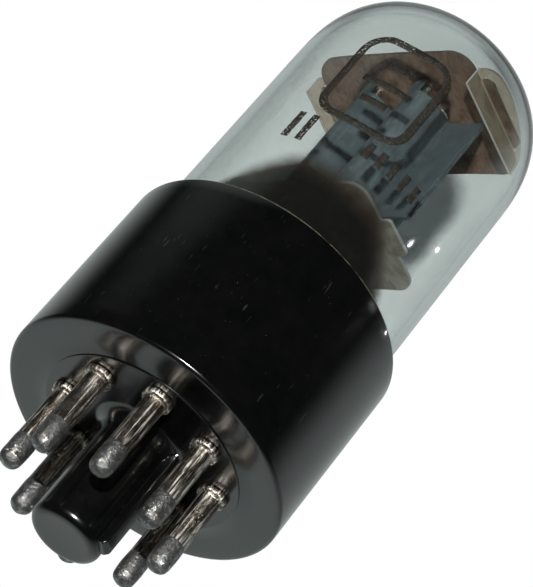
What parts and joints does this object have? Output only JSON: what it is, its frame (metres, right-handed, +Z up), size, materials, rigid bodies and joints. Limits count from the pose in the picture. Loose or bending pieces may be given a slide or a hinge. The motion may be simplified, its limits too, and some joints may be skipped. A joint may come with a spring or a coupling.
{
  "type": "vacuum tube",
  "caption": "Octal-base glass vacuum tube with a straight domed bulb, two triodes side by side between mica spacers, contact pins and a keyed centre post.",
  "frame": {"origin": "centre of the seating face, the ring on the underside of the base", "axes": "+Z up the tube's axis towards the dome, X along the line through the two triode units, unit 2 on the +X side"},
  "size_m": [0.0318, 0.0318, 0.0759],
  "materials": {
    "bakelite": "glossy black phenolic moulding",
    "pin_metal": "nickel-plated brass, lightly tarnished",
    "solder": "dull grey tin-lead solder",
    "cement": "matt tan basing cement",
    "glass": "clear soft glass with a faint grey-green tint",
    "mica": "translucent brown mica sheet",
    "anode_metal": "dull blue-grey carbonised nickel",
    "cathode_coating": "matt white oxide coating on nickel",
    "heater_coating": "matt white alumina on tungsten",
    "wire_metal": "bright nickel wire",
    "getter_metal": "heat-darkened nickel pan"
  },
  "bodies": {
    "root": {"anode_1_back": "anode_metal", "anode_1_front": "anode_metal", "anode_2_back": "anode_metal", "anode_2_front": "anode_metal", "anode_lead_1": "wire_metal", "anode_lead_2": "wire_metal", "base_cement": "cement", "cathode_1": "cathode_coating", "cathode_2": "cathode_coating", "cathode_lead_1": "wire_metal", "cathode_lead_2": "wire_metal", "contact_pin_1": "pin_metal", "contact_pin_2": "pin_metal", "contact_pin_3": "pin_metal", "contact_pin_4": "pin_metal", "contact_pin_5": "pin_metal", "contact_pin_6": "pin_metal", "contact_pin_7": "pin_metal", "contact_pin_8": "pin_metal", "exhaust_tube": "glass", "getter_cup": "getter_metal", "getter_support": "wire_metal", "glass_envelope": "glass", "glass_stem": "glass", "grid_1_rods": "wire_metal", "grid_1_winding": "wire_metal", "grid_2_rods": "wire_metal", "grid_2_winding": "wire_metal", "grid_lead_1": "wire_metal", "grid_lead_2": "wire_metal", "heater_1": "heater_coating", "heater_2": "heater_coating", "heater_lead_a": "wire_metal", "heater_lead_b": "wire_metal", "lower_mica": "mica", "mica_bumper_left": "mica", "mica_bumper_right": "mica", "octal_base": "bakelite", "pin_lead_wires": "wire_metal", "pin_solder_tips": "solder", "upper_mica": "mica"}
  },
  "joints": []
}
